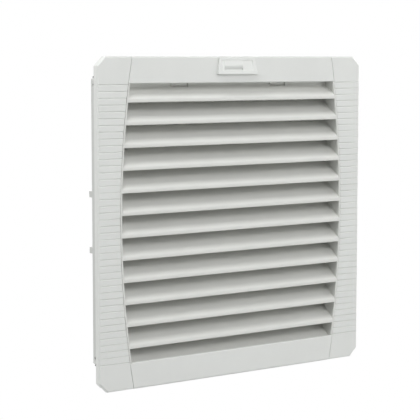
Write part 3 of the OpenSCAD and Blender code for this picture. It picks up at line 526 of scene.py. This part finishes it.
# Cover frame: the face bands with the rim round the edge and the hinge knuckles at the bottom.
# Light grey plastic, moulded in one piece, with a satin grain on the face.
cover_grey = moulded_plastic("cover plastic", dark=(218, 220, 217), light=(226, 228, 225),
                             roughness=0.46, grain=0.2)
seat(rounded_copy("cover_frame", radius=0.35 * MM), "cover_frame_moulding", cover_grey, "cover",
     "cover_plastic", "cover_frame")

# Louvre insert: twelve slats between two bowed walls, with the sill and the roof.
# Moulded in plastic of a shade just below the frame's, and snapped into the frame from behind.
louvre_grey = moulded_plastic("louvre plastic", dark=(213, 214, 210), light=(221, 222, 218),
                              roughness=0.46, grain=0.2)
seat(rounded_copy("louvre_grille", radius=0.3 * MM), "louvre_insert", louvre_grey, "cover",
     "cover_plastic", "louvre_grille")

# Side trims: the ribbed wings left and right of the seams, seated on the rails of the frame.
# Moulded in the cover's plastic, with V-shaped grooves that have soft lips.


def cut_deeper(shape, floor_y, extra):
    """Lowers the floor of the grooves."""
    same_level = 0.02 * MM
    for vertex in shape.verts:
        if abs(vertex.co.y - floor_y) < same_level:
            vertex.co.y += extra
    return shape


groove_depth = 0.5 * MM
extra_depth = 0.25 * MM
for side in ("left", "right"):
    node = f"side_trim_{side}"
    trim = rounded_copy(node, radius=0.3 * MM, segments=3)
    groove_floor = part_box(node)[0].y + groove_depth
    seat(cut_deeper(trim, groove_floor, extra_depth), f"{side}_ribbed_trim", cover_grey, "cover",
         "cover_plastic", node)

# Latch: the wedge-shaped button on the face, snapped on the slider behind it.
# Both are moulded in the cover's plastic, and a small conical spring of steel wire holds the
# slider up.


def conical_spring(low, high, wire, foot_radius, head_radius, turns):
    """Coil of round wire between two heights, narrower at its head."""
    turn_steps = 30
    wire_sides = 12
    shape = bmesh.new()
    bmesh.ops.create_circle(shape, segments=wire_sides, radius=wire / 2, cap_ends=True,
                            matrix=Matrix.Translation((foot_radius, 0, low + wire / 2))
                            @ Matrix.Rotation(radians(90), 4, "X"))
    count = round(turns * turn_steps)
    bmesh.ops.spin(shape, geom=shape.verts[:] + shape.edges[:] + shape.faces[:], cent=(0, 0, 0),
                   axis=(0, 0, 1), dvec=(0, 0, (high - low - wire) / count), angle=turns * tau,
                   steps=count)
    for vertex in shape.verts:
        share = (vertex.co.z - low) / (high - low)
        middle = Vector((vertex.co.x, vertex.co.y, 0)).normalized()
        vertex.co -= middle * share * (foot_radius - head_radius)
    bmesh.ops.recalc_face_normals(shape, faces=shape.faces[:])
    return shape


seat(rounded_copy("latch_button", radius=0.45 * MM, segments=3), "latch_button_cap", cover_grey,
     "latch", "cover_plastic", "latch_button")
seat(rounded_copy("latch_slider", radius=0.3 * MM), "latch_slider_moulding", cover_grey, "latch",
     "cover_plastic", "latch_slider")
low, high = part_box("latch_spring")
coil = conical_spring(low.z, high.z, wire=0.45 * MM, foot_radius=2.6 * MM, head_radius=2.1 * MM,
                      turns=2.5)
spring = seat(coil, "latch_spring_coil", bright_steel, "cover", "bright_steel", "latch_spring")
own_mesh(spring)

# Studio: a pale floor under the part, soft boxes all round it, and the camera of the photograph.
# The floor and the world show as white, and the floor keeps the part's shadow.


def seen_rays(tree):
    """1 for the rays that look at the background: from the camera, off gloss and through glass."""
    path = tree.nodes.new("ShaderNodeLightPath")
    seen = Shade(tree, path.outputs["Is Camera Ray"])
    for kind in ("Is Glossy Ray", "Is Transmission Ray"):
        seen = seen.math("MAXIMUM", seen, Shade(tree, path.outputs[kind]))
    return seen


floor_drop = 0.75
floor_reach = 30.0
shadow_reach = 1.0
white_reach = 1.9
shadow_share = 0.16
floor_shape = bmesh.new()
bmesh.ops.create_grid(floor_shape, x_segments=1, y_segments=1, size=floor_reach,
                      matrix=Matrix.Translation((0, 0, -floor_drop)))
floor = plain_object(floor_shape, "studio_floor")
floor_white, surface, place = new_finish("floor white", {
    "Roughness": 0.9, "Base Color": (0.9, 0.9, 0.9, 1)})
tree = floor_white.node_tree
seen = seen_rays(tree)
glow = seen.node("ShaderNodeEmission", {}, {"Color": (1, 1, 1, 1), "Strength": 1.0})
reach = place.node("ShaderNodeVectorMath", {"operation": "LENGTH"}, {0: place}, "Value")
near = place.node("ShaderNodeMapRange", {"interpolation_type": "SMOOTHSTEP"}, {
    "Value": reach, "From Min": shadow_reach, "From Max": white_reach, "To Min": 1.0, "To Max": 0.0})
blend = seen.node("ShaderNodeMixShader", {}, {
    0: seen * (1 - near * shadow_share), 1: Shade(tree, surface.outputs[0]), 2: glow})
tree.links.new(blend.socket, tree.nodes["Material Output"].inputs["Surface"])
floor.data.materials.append(floor_white)

world = bpy.data.worlds.new("studio")
bpy.context.scene.world = world
world.use_nodes = True
sky = world.node_tree
backdrop = sky.nodes["Background"]
backdrop.inputs["Color"].default_value = (1, 1, 1, 1)
sky.links.new(seen_rays(sky).socket, backdrop.inputs["Strength"])


def soft_box(name, elevation, azimuth, power):
    """Square soft box round the part, at an angle above the floor and to the right of the front."""
    distance = 1.6
    side = 0.6
    rise = radians(elevation)
    turn = radians(azimuth)
    place = distance * Vector((cos(rise) * sin(turn), -cos(rise) * cos(turn), sin(rise)))
    lamp = bpy.data.lights.new(name, "AREA")
    lamp.shape = "SQUARE"
    lamp.size = side
    lamp.energy = power
    box = bpy.data.objects.new(name, lamp)
    bpy.context.scene.collection.objects.link(box)
    box.location = place
    box.rotation_euler = (-place).to_track_quat("-Z", "Y").to_euler()
    box.visible_camera = False


soft_box("front box", elevation=40, azimuth=0, power=6.8)
soft_box("front left box", elevation=22, azimuth=-30, power=2.6)
soft_box("right box", elevation=20, azimuth=30, power=2.9)
soft_box("far right box", elevation=20, azimuth=65, power=3.5)
soft_box("low box", elevation=-20, azimuth=30, power=4.2)
soft_box("left box", elevation=0, azimuth=-100, power=6.4)
soft_box("upper left box", elevation=60, azimuth=-65, power=14.4)
soft_box("side box", elevation=15, azimuth=105, power=6.0)
soft_box("rear right box", elevation=25, azimuth=150, power=9.0)
soft_box("rear left box", elevation=25, azimuth=-150, power=6.0)

camera_place = (-0.84134, -1.17367, 0.15601)
camera_yaw = radians(34.7468)
camera_pitch = radians(5.9227)
lens = bpy.data.cameras.new("camera")
lens.sensor_fit = "HORIZONTAL"
lens.sensor_width = 36.0
lens.lens = 123.666
lens.dof.use_dof = False
camera = bpy.data.objects.new("camera", lens)
bpy.context.scene.collection.objects.link(camera)
camera.location = camera_place
camera.rotation_euler = (radians(90) - camera_pitch, 0, -camera_yaw)
bpy.context.scene.camera = camera
bpy.context.scene.view_settings.view_transform = "Standard"
